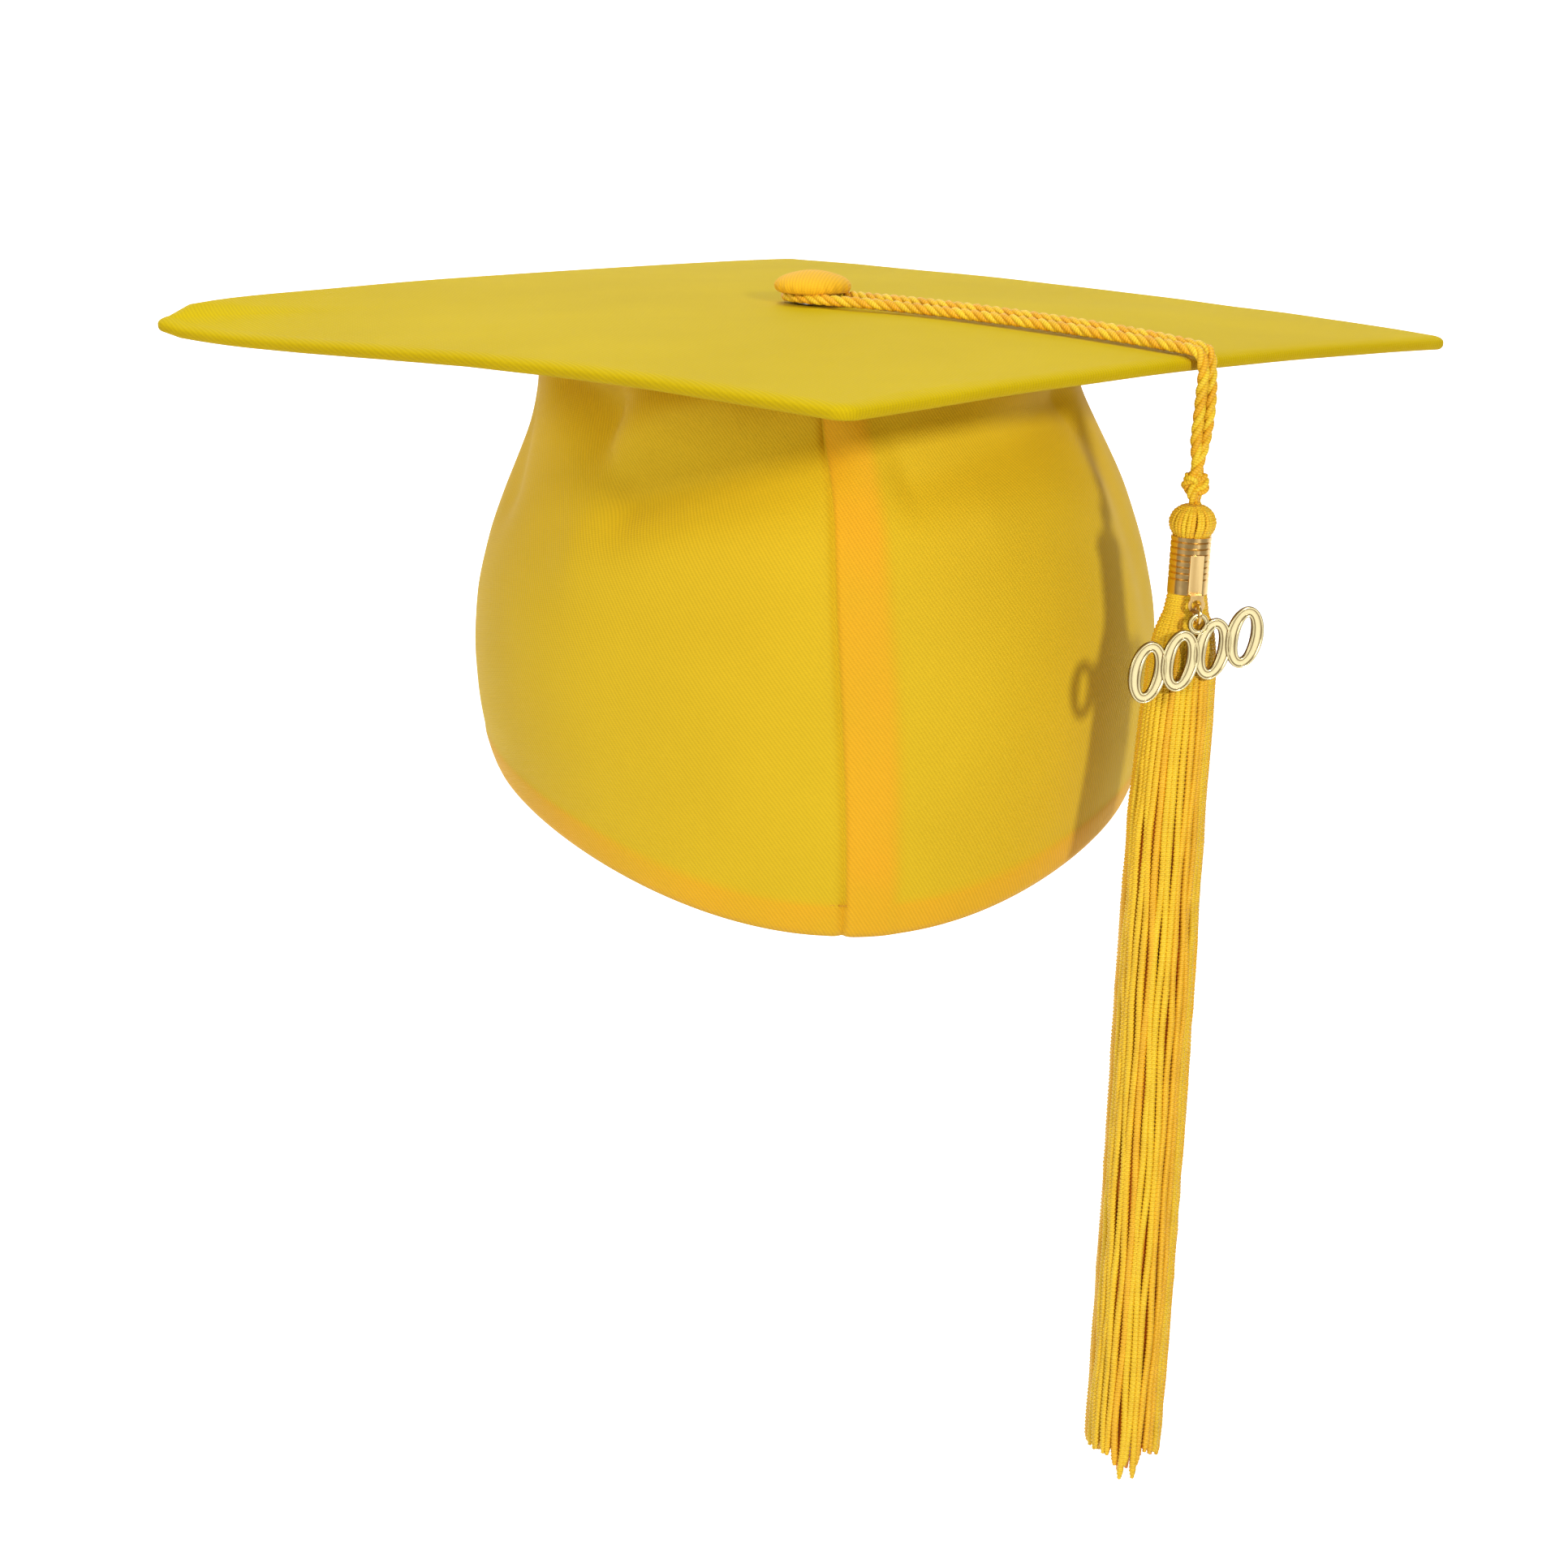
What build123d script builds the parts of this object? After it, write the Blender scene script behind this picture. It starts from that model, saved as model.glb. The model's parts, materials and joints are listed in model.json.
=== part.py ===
from build123d import *
from math import asin, cos, pi, radians, sin, sqrt, tan
import os

# Graduation cap (mortarboard) in millimetres, +Z up, front corner of the board towards -Y.
# Origin: centre of the head opening, level with the rim at the sides.

# ---- driving dimensions -------------------------------------------------------------------
BOARD_SIDE = 241.0
BOARD_CORNER_R = 7.0
BOARD_TOP = 120.0          # height of the board's cloth at its centre
DOME_R = 2150.0            # the board bows down very slightly towards its corners
CLOTH = 0.6
CORE_THICK = 2.4
CORE_INSET = 0.7
EDGE_ROUND = 0.5
PIN_HOLE_R = 1.6

CROWN_CLOTH = 0.8
CROWN_LONGER = 3.0         # the crown is this much longer than wide, per side, front and back
# height below the board's top, half width of the crown there
CROWN_WIDTHS = [(0, 69), (-20, 71.5), (-33, 76.5), (-46, 82), (-60, 87), (-75, 90.5),
                (-90, 91.5), (-105, 90.5), (-122, 88), (-155, 83)]
RIM_FRONT_DROP = 24.5      # the rim's front centre hangs this far below its sides
RIM_BACK_DROP = 6.0
HEM_WIDTH = 9.0
LAYER_GAP = 0.2

CORD_D = 3.0
CORD_AZIMUTH = -43.1       # the cord lies 1.9 degrees off the front right edge's normal
EDGE_PIVOT = (123.0, -2.2)  # where the cord turns down over the edge: out along the cord, up
KNOT_BELOW = 34.4          # centre of the knot, below the board's top
KNOT_R = 3.6
TASSEL_LEAN = 1.55         # degrees, lower end towards -X
CHARM_AZIMUTH = -80.0      # the side of the tassel that the charm hangs on

dome_centre = BOARD_TOP - DOME_R
board_thick = CLOTH + CORE_THICK + CLOTH
under_board = DOME_R - board_thick
crown_wall = max(half for height, half in CROWN_WIDTHS)
cord_r = CORD_D / 2

cord_plane = Plane(origin=(0, 0, BOARD_TOP),
                   x_dir=(cos(radians(CORD_AZIMUTH)), sin(radians(CORD_AZIMUTH)), 0),
                   z_dir=(0, 0, 1))


def save(node, solid):
    """One STEP file for each node."""
    export_step(solid, f"parts/{node}.step")


def cord_point(along, aside, up):
    """A point given along the cord's direction, to its left, and above the board's top."""
    return cord_plane.from_local_coords(Vector(along, aside, up))


def ball(radius):
    """Everything within this radius of the centre that the board is domed about."""
    return Pos(0, 0, dome_centre) * Sphere(radius)


def prism(side, corner_r):
    """An upright square column, one corner to the front."""
    column = extrude(RectangleRounded(side, side, corner_r), amount=60)
    return Pos(0, 0, BOARD_TOP - 40) * Rot(0, 0, 45) * column


def pin_hole(radius=PIN_HOLE_R):
    return Pos(0, 0, BOARD_TOP) * Cylinder(radius, 40)


# ---- the square board ---------------------------------------------------------------------
def make_board():
    outer = prism(BOARD_SIDE, BOARD_CORNER_R) & ball(DOME_R)
    inner = prism(BOARD_SIDE - 2 * CORE_INSET, BOARD_CORNER_R - CORE_INSET)
    board = outer - ball(under_board) - pin_hole()
    filling = inner & ball(DOME_R - CLOTH)
    cover_top = board - filling
    core = (filling - ball(under_board + CLOTH)) - pin_hole()
    cover_bottom = ((inner & ball(under_board + CLOTH)) - ball(under_board)) - pin_hole()
    upper_rim = [edge for edge in cover_top.edges() if is_upper_rim(edge)]
    save("board_cover_top", fillet(upper_rim, EDGE_ROUND))
    save("board_core", core)
    save("board_cover_bottom", cover_bottom)


def is_upper_rim(edge):
    """Whether an edge lies on the domed top, away from the pin hole."""
    middle = edge.position_at(0.5)
    across = sqrt(middle.X ** 2 + middle.Y ** 2)
    from_centre = sqrt(across ** 2 + (middle.Z - dome_centre) ** 2)
    return abs(from_centre - DOME_R) < 0.05 and across > BOARD_SIDE / 2 - 0.1


# ---- the button that holds the tassel's cord -----------------------------------------------
BUTTON_R = 10.0
BUTTON_UNDER = 3.8         # the cord's loop lies under this height
BUTTON_TOP = 7.8
NECK_R = 4.0
PIN_R = 1.4


def dome(radius, top, under):
    """A low domed disc with a turned-in rim, heights above the board."""
    rim = under + 0.35 * (top - under)
    rise = top - rim
    sphere_r = (radius ** 2 + rise ** 2) / (2 * rise)
    half_way = asin(radius / sphere_r) / 2
    middle = (sphere_r * sin(half_way), top - sphere_r * (1 - cos(half_way)))
    outline = make_face([
        Polyline((0, top), (0, under), (radius - 0.9, under), (radius, rim)),
        ThreePointArc((radius, rim), middle, (0, top)),
    ])
    return Pos(0, 0, BOARD_TOP) * revolve(Plane.XZ * outline, Axis.Z)


def disc(radius, low, high, hole=0.0):
    """A flat round piece on the button's axis, heights above the board."""
    piece = Pos(0, 0, BOARD_TOP + (low + high) / 2) * Cylinder(radius, high - low)
    return piece - pin_hole(hole) if hole else piece


def make_button():
    cover = dome(BUTTON_R, BUTTON_TOP, BUTTON_UNDER)
    shell = dome(BUTTON_R - 0.5, BUTTON_TOP - 0.5, BUTTON_UNDER + 0.3)
    hollow = dome(BUTTON_R - 0.9, BUTTON_TOP - 0.9, BUTTON_UNDER + 0.3)
    mouth = disc(BUTTON_R - 1.5, BUTTON_UNDER - 1, BUTTON_UNDER + 0.4)
    save("button_cover", cover - shell - mouth)
    save("button_shell", shell - hollow - mouth)
    plate = disc(BUTTON_R - 2.0, BUTTON_UNDER, BUTTON_UNDER + 0.7, PIN_HOLE_R)
    neck = disc(NECK_R, 0.1, BUTTON_UNDER, PIN_HOLE_R)
    save("button_back", plate + neck)
    below = -board_thick - CLOTH - 2 * LAYER_GAP
    save("button_washer", disc(6.0, below - 0.8, below, PIN_HOLE_R))
    head = disc(3.2, BUTTON_UNDER + 0.8, BUTTON_UNDER + 1.6)
    clinch = disc(2.6, below - 1.7, below - 0.9)
    save("button_rivet", head + disc(PIN_R, below - 1, BUTTON_UNDER + 1) + clinch)


# ---- the soft crown -----------------------------------------------------------------------
def crown_body(inset):
    """The crown's filled shape, drawn in by inset, from the board down past the rim."""
    sections = [
        Pos(0, 0, BOARD_TOP + z) * Ellipse(half - inset, half + CROWN_LONGER - inset)
        for z, half in CROWN_WIDTHS
    ]
    return loft(sections)


def above_rim(raised):
    """All that is above the rim's line, or above the same line raised."""
    reach = 110.0
    front = (-reach, raised - rim_sag(RIM_FRONT_DROP, reach))
    back = (reach, raised - rim_sag(RIM_BACK_DROP, reach))
    half = reach / 2
    outline = make_face([
        ThreePointArc(front, (-half, raised - rim_sag(RIM_FRONT_DROP, half)), (0, raised)),
        ThreePointArc((0, raised), (half, raised - rim_sag(RIM_BACK_DROP, half)), back),
        Polyline(back, (reach, BOARD_TOP), (-reach, BOARD_TOP), front),
    ])
    return extrude(Plane.YZ * outline, amount=reach, both=True)


def rim_sag(drop, distance):
    """How far a rim arc that drops by drop at the crown's wall has dropped at distance."""
    radius = (crown_wall ** 2 + drop ** 2) / (2 * drop)
    return radius - sqrt(radius ** 2 - distance ** 2)


def crown_layer(outer, inner):
    """A cloth layer of the crown, between two insets, under the board."""
    return (crown_body(outer) - crown_body(inner)) & ball(under_board - LAYER_GAP)


def slab(x0, x1, y0, y1, z0=-60.0, z1=BOARD_TOP):
    """A box from its limits."""
    return Pos((x0 + x1) / 2, (y0 + y1) / 2, (z0 + z1) / 2) * Box(x1 - x0, y1 - y0, z1 - z0)


def make_crown():
    reach = 110.0
    wall = crown_layer(0, CROWN_CLOTH) & above_rim(0)
    save("crown_panel_right", wall & slab(0.05, reach, -reach, reach))
    save("crown_panel_left", wall & slab(-reach, -0.05, -reach, reach))

    tape_out = CROWN_CLOTH + LAYER_GAP
    tape = crown_layer(tape_out, tape_out + 0.4) & above_rim(HEM_WIDTH + 1)
    below_top = slab(-reach, reach, -reach, reach, z1=BOARD_TOP - board_thick - 3)
    save("front_seam_tape", tape & slab(0, 13, -reach, 0) & below_top)
    save("back_seam_tape", tape & slab(-6.5, 6.5, 0, reach) & below_top)

    elastic = crown_layer(tape_out, tape_out + 0.8) & slab(-reach, reach, 30, reach)
    save("elastic_band", (elastic & above_rim(1.5)) - above_rim(HEM_WIDTH - 1.5))
    facing_out = tape_out + 1.0
    facing = crown_layer(facing_out, facing_out + 0.5) & above_rim(0.3)
    save("hem_facing", facing - above_rim(HEM_WIDTH))

    lid_half = CROWN_WIDTHS[0][1] - tape_out
    lid = Pos(0, 0, BOARD_TOP - 20) * extrude(
        Ellipse(lid_half, lid_half + CROWN_LONGER), amount=30)
    lid = (lid & ball(under_board - LAYER_GAP)) - ball(under_board - LAYER_GAP - CLOTH)
    save("crown_top", lid - pin_hole())

    label = Pos(0, 38, BOARD_TOP - board_thick - CLOTH - 1.1) * Box(34, 20, 0.3)
    save("size_label", label)


# ---- the tassel's cord --------------------------------------------------------------------
# The doubled cord lies on the board, round the button's neck and back, and over the edge.
# Each point: along the cord's direction, to its left, above the board's top.
LOOP_ROUTE = [
    (121.4, 1.7, -1.5),
    (118.0, 1.7, -1.2),
    (101.0, 1.9, -0.3),
    (76.0, 1.6, 0.8),
    (50.0, 1.9, 1.4),
    (27.0, 2.2, 1.8),
    (13.0, 4.6, 2.0),
    (3.0, 6.3, 2.0),
    (-5.2, 5.4, 2.0),
    (-7.6, 0.0, 2.0),
    (-5.2, -5.4, 2.0),
    (3.0, -6.3, 2.0),
    (13.0, -4.5, 2.0),
    (26.0, -2.1, 1.8),
    (50.0, -1.7, 1.4),
    (76.0, -1.9, 0.8),
    (101.0, -1.6, -0.3),
    (118.0, -1.7, -1.2),
    (121.4, -1.7, -1.5),
]


def tube(points, name):
    """A round cord along straight runs joined by the largest tangent arcs they allow."""
    vectors = [Vector(*p) for p in points]
    runs = [b - a for a, b in zip(vectors, vectors[1:])]
    radii = []
    for before, after in zip(runs, runs[1:]):
        turn = radians(before.get_angle(after))
        radii.append(0.45 * min(before.length, after.length) / tan(turn / 2))
    path = FilletPolyline(*vectors, radius=radii)
    section = Plane(origin=path @ 0, z_dir=path % 0) * Circle(cord_r)
    solid = sweep(section, path=path)
    expected = pi * cord_r ** 2 * path.length
    print(name, "length", round(path.length, 1), "volume ratio", round(solid.volume / expected, 4),
          "radii", [round(r, 1) for r in radii])
    return solid


def make_cord():
    save("tassel_cord_loop", tube([cord_point(*p) for p in LOOP_ROUTE], "tassel_cord_loop"))
    strands = []
    for side in (1, -1):
        top = cord_point(EDGE_PIVOT[0], side * 1.7, EDGE_PIVOT[1])
        bottom = knot_centre + Vector(0, 0, KNOT_R + 0.1) + cord_plane.y_dir * (side * 1.7)
        run = bottom - top
        rod = Solid.make_cylinder(cord_r, run.length, Plane(origin=top, z_dir=run))
        strands.append(rod + Pos(*top) * Sphere(cord_r))
    save("tassel_cord_drop", strands[0] + strands[1])


lean_axis = Vector(-sin(radians(TASSEL_LEAN)), 0, -cos(radians(TASSEL_LEAN)))
edge_pivot = cord_point(EDGE_PIVOT[0], 0, EDGE_PIVOT[1])
knot_centre = edge_pivot + lean_axis * ((KNOT_BELOW + EDGE_PIVOT[1]) / -lean_axis.Z)
tassel_plane = Plane(origin=knot_centre,
                     x_dir=Vector(cos(radians(CHARM_AZIMUTH)), sin(radians(CHARM_AZIMUTH)),
                                  cos(radians(CHARM_AZIMUTH)) * -tan(radians(TASSEL_LEAN))),
                     z_dir=-lean_axis)


# ---- the tassel: local frame at the knot's centre, +x towards the charm, +z up the tassel ---
HEAD_TOP = -3.8
BARREL_TOP = -10.6
BARREL_LENGTH = 13.8
BARREL_R = 4.9
SKIRT_END = -254.0
RIB_PITCH = 1.5
RIB_COUNT = 7
barrel_end = BARREL_TOP - BARREL_LENGTH


def place(solid):
    return tassel_plane.location * solid


def turned(points):
    """A solid of revolution about the tassel's axis from (radius, height) points."""
    return revolve(Plane.XZ * make_face(Polyline(*points, close=True)), Axis.Z)


def curved(profile, top, bottom):
    """A solid of revolution whose side is one smooth curve through (radius, height) points."""
    side = Spline(*profile)
    outline = make_face([Line((0, top), profile[0]), side, Line(profile[-1], (0, bottom)),
                         Line((0, bottom), (0, top))])
    return revolve(Plane.XZ * outline, Axis.Z)


def make_tassel():
    save("cord_knot", place(Sphere(KNOT_R)))
    head = [(2.0, HEAD_TOP), (5.2, -5.2), (5.8, -7.4), (4.2, BARREL_TOP + 0.2)]
    save("tassel_head", place(curved(head, HEAD_TOP, BARREL_TOP + 0.2)))
    neck = Cylinder(BARREL_R - 1.0, BARREL_LENGTH, align=(Align.CENTER, Align.CENTER, Align.MIN))
    save("tassel_neck", place(Pos(0, 0, barrel_end) * neck))
    barrel = [(BARREL_R - 0.8, BARREL_TOP), (BARREL_R, BARREL_TOP)]
    for rib in range(RIB_COUNT):
        groove = BARREL_TOP - RIB_PITCH * (rib + 0.8)
        barrel += [(BARREL_R, groove + 0.25), (BARREL_R - 0.3, groove), (BARREL_R, groove - 0.25)]
    barrel += [(BARREL_R, barrel_end), (BARREL_R - 0.8, barrel_end)]
    save("tassel_barrel", place(turned(barrel)))
    skirt = [(4.4, barrel_end - 0.2), (4.7, -29.5), (6.4, -34.5), (8.4, -42.5), (9.2, -55.5),
             (9.6, -80.0), (9.9, -110.0), (10.0, -150.0), (10.1, -200.0), (10.1, SKIRT_END)]
    save("tassel_skirt", place(curved(skirt, barrel_end - 0.2, SKIRT_END)))


# ---- the gilt fittings on the barrel --------------------------------------------------------
STRAP_WIDTH = 3.4
STRAP_THICK = 0.5
EYE_R = 1.2
TAB_OUT = 7.1              # distance of the tab's plane from the tassel's axis
TAB_Z = -26.2
RING_R = 2.4
RING_WIRE_R = 0.4
RING_TAB_ANGLE = 120.0     # where the ring passes through the tab, round its own centre
RING_CHARM_ANGLE = -56.0
CHARM_THICK = 1.0
OVAL_COUNT = 4
OVAL_PITCH = 8.4
OVAL_RISE = 20.0
OVAL_LEAN = -8.0
ring_centre = (TAB_OUT - RING_R * cos(radians(RING_TAB_ANGLE)),
               TAB_Z - RING_R * sin(radians(RING_TAB_ANGLE)))
charm_eye = (ring_centre[0] + RING_R * cos(radians(RING_CHARM_ANGLE)),
             ring_centre[1] + RING_R * sin(radians(RING_CHARM_ANGLE)))


def make_strap():
    """A smooth strap down the barrel's front, jogged out to a tab with an eye."""
    inner = BARREL_R + 0.1
    mid_z = (BARREL_TOP - 4 + barrel_end) / 2
    strap = Pos(inner + STRAP_THICK / 2, 0, mid_z) * Box(
        STRAP_THICK, STRAP_WIDTH, BARREL_TOP - 4 - barrel_end)
    jog_length = TAB_OUT + STRAP_THICK / 2 - inner
    jog = Pos(inner + jog_length / 2, 0, barrel_end + STRAP_THICK / 2) * Box(
        jog_length, STRAP_WIDTH, STRAP_THICK)
    stem_height = barrel_end - TAB_Z + STRAP_THICK
    stem = Pos(TAB_OUT, 0, TAB_Z + stem_height / 2) * Box(STRAP_THICK, STRAP_WIDTH, stem_height)
    tab = Pos(TAB_OUT, 0, TAB_Z) * Rot(0, 90, 0) * Cylinder(2.1, STRAP_THICK)
    eye = Pos(TAB_OUT, 0, TAB_Z) * Rot(0, 90, 0) * Cylinder(EYE_R, 4)
    save("barrel_strap", place(strap + jog + stem + tab - eye))


def make_ring_and_charm():
    ring = Pos(ring_centre[0], 0, ring_centre[1]) * Rot(90, 0, 0) * Torus(RING_R, RING_WIRE_R)
    save("jump_ring", place(ring))
    ovals = []
    for index in range(OVAL_COUNT):
        step = (index - (OVAL_COUNT - 1) / 2) * OVAL_PITCH
        spot = Pos(step * cos(radians(OVAL_RISE)), step * sin(radians(OVAL_RISE)))
        ovals.append(spot * Rot(0, 0, OVAL_LEAN) * (Ellipse(4.7, 7.6) - Ellipse(1.5, 5.0)))
    eye_height = 7.6
    outline = Sketch() + ovals + Pos(0, eye_height) * Circle(2.6)
    outline -= Pos(0, eye_height) * Circle(1.5)
    plate = extrude(outline, amount=CHARM_THICK / 2, both=True)
    charm_plane = Plane(origin=(charm_eye[0], 0, charm_eye[1] - eye_height), x_dir=(0, 1, 0),
                        z_dir=(1, 0, 0))
    save("charm", place(charm_plane.location * plate))


os.makedirs("parts", exist_ok=True)
make_board()
make_button()
make_crown()
make_cord()
make_tassel()
make_strap()
make_ring_and_charm()

for label_text, point in [
    ("edge pivot", edge_pivot),
    ("knot centre", knot_centre),
    ("tab eye", tassel_plane.from_local_coords(Vector(TAB_OUT, 0, TAB_Z))),
    ("ring centre", tassel_plane.from_local_coords(Vector(ring_centre[0], 0, ring_centre[1]))),
    ("tassel x", tassel_plane.x_dir),
    ("tassel y", tassel_plane.y_dir),
    ("tassel z", tassel_plane.z_dir),
]:
    print(label_text, [round(c, 4) for c in point])
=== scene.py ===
import json
from math import cos, hypot, pi, radians, sin

import bpy
import numpy as np
from mathutils import Matrix, Vector


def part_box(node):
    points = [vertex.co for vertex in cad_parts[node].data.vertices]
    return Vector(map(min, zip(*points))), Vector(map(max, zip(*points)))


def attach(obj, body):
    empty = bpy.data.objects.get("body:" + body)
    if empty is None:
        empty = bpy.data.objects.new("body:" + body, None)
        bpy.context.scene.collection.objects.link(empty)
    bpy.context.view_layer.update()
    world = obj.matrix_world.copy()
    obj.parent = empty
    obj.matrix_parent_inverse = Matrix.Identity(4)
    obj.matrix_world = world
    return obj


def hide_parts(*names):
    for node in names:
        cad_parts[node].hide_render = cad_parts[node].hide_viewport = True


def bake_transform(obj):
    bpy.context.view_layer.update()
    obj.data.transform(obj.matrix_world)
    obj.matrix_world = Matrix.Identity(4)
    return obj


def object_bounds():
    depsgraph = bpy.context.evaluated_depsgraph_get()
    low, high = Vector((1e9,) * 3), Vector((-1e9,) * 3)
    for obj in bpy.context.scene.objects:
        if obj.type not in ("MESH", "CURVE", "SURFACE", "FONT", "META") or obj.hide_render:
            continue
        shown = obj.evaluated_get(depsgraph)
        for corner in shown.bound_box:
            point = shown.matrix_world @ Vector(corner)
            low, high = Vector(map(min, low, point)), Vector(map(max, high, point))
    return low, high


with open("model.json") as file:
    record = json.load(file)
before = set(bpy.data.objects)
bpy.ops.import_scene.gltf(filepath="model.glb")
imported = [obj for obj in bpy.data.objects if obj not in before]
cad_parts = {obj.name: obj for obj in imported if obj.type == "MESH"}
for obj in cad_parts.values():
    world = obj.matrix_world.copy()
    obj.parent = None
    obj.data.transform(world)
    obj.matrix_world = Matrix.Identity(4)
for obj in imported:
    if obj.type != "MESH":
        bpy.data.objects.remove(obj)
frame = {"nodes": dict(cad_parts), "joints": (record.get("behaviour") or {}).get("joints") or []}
cad_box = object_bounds()
chance = np.random.default_rng(11)

# ---- sizes, in metres ----
MM = 0.001
BOARD_SIDE = 241 * MM
HALF_DIAGONAL = 170 * MM
BOARD_EDGE_R = 5 * MM
DOME_R = 2150 * MM
FRONT_LIFT = 4.0 * MM
BACK_LIFT = 1.7 * MM
CORNER_SKEW = 1.8 * MM
LEFT_WARP = 28 * MM
LEFT_SWELL = 3.0 * MM
RIGHT_SAG = 1.0 * MM
BOARD_THICK = 3.6 * MM
CLOTH_THICK = 0.4 * MM
CROWN_LONGER = 3 * MM
CROWN_DEPTHS = np.array([0, 20, 33, 46, 60, 75, 90, 105, 122, 155]) * MM
CROWN_HALVES = np.array([69, 71.5, 76.5, 82, 87, 90.5, 91.5, 90.5, 88, 83]) * MM
RIM_FRONT_DROP = 24.5 * MM
RIM_BACK_DROP = 6 * MM
HEM_WIDTH = 9 * MM
CORD_D = 3 * MM
CORD_AZIMUTH = radians(-43.1)
PLY_SHARE = 0.53
PLY_TONES = (0.25, 0.5, 0.75)

board_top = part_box("board_cover_top")[1].z
board_centre = np.array([0, 0, board_top])
dome_centre = board_top - DOME_R
joints = {j["name"]: j for j in frame["joints"]}

# ---- the camera ----
CAMERA_DISTANCE = 0.85
CAMERA_LENS = 73.9
CAMERA_AZIMUTH = radians(-2.49)
CAMERA_ELEVATION = radians(6.37)
CAMERA_PITCH = radians(14.87)
CAMERA_PAN = radians(-0.36)
CAMERA_ROLL = radians(0.96)


def make_camera():
    data = bpy.data.cameras.new("camera")
    data.sensor_width = 36
    data.lens = CAMERA_LENS
    camera = bpy.data.objects.new("camera", data)
    bpy.context.scene.collection.objects.link(camera)
    away = Vector((0, -cos(CAMERA_ELEVATION), sin(CAMERA_ELEVATION))) * CAMERA_DISTANCE
    aim = Vector((sin(CAMERA_PAN) * cos(CAMERA_PITCH), cos(CAMERA_PAN) * cos(CAMERA_PITCH),
                  -sin(CAMERA_PITCH)))
    level_right = aim.cross(Vector((0, 0, 1))).normalized()
    level_up = level_right.cross(aim)
    right = level_right * cos(CAMERA_ROLL) + level_up * sin(CAMERA_ROLL)
    up = level_up * cos(CAMERA_ROLL) - level_right * sin(CAMERA_ROLL)
    turn = Matrix((right, up, -aim)).transposed().to_4x4()
    place = Matrix.Translation((0, 0, board_top)) @ Matrix.Rotation(CAMERA_AZIMUTH, 4, "Z")
    camera.matrix_world = place @ Matrix.Translation(away) @ turn
    bpy.context.scene.camera = camera


# ---- meshes from grids of points ----
class Grid:
    """Rows and columns of points, with each one's place on the flat cloth and its tone."""

    def __init__(self, points, u, v, closed=False, capped=False, tone=0.5):
        self.points = np.asarray(points, float)
        rows, columns = self.points.shape[:2]
        wide = columns + 1 if closed else columns
        self.u = np.broadcast_to(u, (rows, wide))
        self.v = np.broadcast_to(np.asarray(v, float).reshape(rows, -1), (rows, wide))
        self.tone = np.broadcast_to(tone, (rows, columns))
        self.closed = closed
        self.capped = capped


def four_corners(table):
    """The values at the four corners of each face of a grid."""
    return np.stack([table[:-1, :-1], table[:-1, 1:], table[1:, 1:], table[1:, :-1]], axis=-1)


def wrap(table):
    """A table with its first column repeated after its last."""
    return np.concatenate([table, table[:, :1]], axis=1)


def piece(name, grids, material):
    """One object from grids of points."""
    vertices, faces, us, vs, tones = [], [], [], [], []
    start = 0
    for grid in grids:
        rows, columns = grid.points.shape[:2]
        index = start + np.arange(rows * columns).reshape(rows, columns)
        wrapped = wrap(index) if grid.closed else index
        faces += four_corners(wrapped).reshape(-1, 4).tolist()
        us.append(four_corners(grid.u).ravel())
        vs.append(four_corners(grid.v).ravel())
        if grid.capped:
            faces += [index[0, ::-1].tolist(), index[-1].tolist()]
            us += [grid.u[0, :columns][::-1], grid.u[-1, :columns]]
            vs += [grid.v[0, :columns][::-1], grid.v[-1, :columns]]
        vertices.append(grid.points.reshape(-1, 3))
        tones.append(grid.tone.ravel())
        start += rows * columns
    mesh = bpy.data.meshes.new(name)
    mesh.from_pydata(np.concatenate(vertices).tolist(), [], faces)
    flat = np.column_stack([np.concatenate(us), np.concatenate(vs)])
    mesh.uv_layers.new(name="cloth").data.foreach_set("uv", flat.astype(np.float32).ravel())
    tone = mesh.attributes.new("tone", "FLOAT", "POINT")
    tone.data.foreach_set("value", np.concatenate(tones).astype(np.float32))
    mesh.shade_smooth()
    mesh.materials.append(material)
    thing = bpy.data.objects.new(name, mesh)
    bpy.context.scene.collection.objects.link(thing)
    return thing


def dress(thing, body, slot, *nodes):
    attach(thing, body)
    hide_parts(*nodes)
    return thing


def thicken(thing, thickness, offset=0.0):
    """Gives a surface the thickness of its cloth."""
    modifier = thing.modifiers.new("thickness", "SOLIDIFY")
    modifier.thickness = thickness
    modifier.offset = offset
    return thing


def frames_along(path):
    """Two directions across a path at each of its points, turning as little as they can."""
    tangents = np.gradient(path, axis=0)
    tangents /= np.linalg.norm(tangents, axis=1)[:, None]
    across = np.cross(tangents[0], (0.3, 0.5, 0.8))
    sides = []
    for tangent in tangents:
        across = across - tangent * (across @ tangent)
        across /= np.linalg.norm(across)
        sides.append(across)
    sides = np.array(sides)
    return sides, np.cross(tangents, sides)


def lengths_along(path):
    """How far along a path each of its points is."""
    steps = np.linalg.norm(np.diff(path, axis=0), axis=1)
    return np.concatenate([[0], np.cumsum(steps)])


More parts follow.
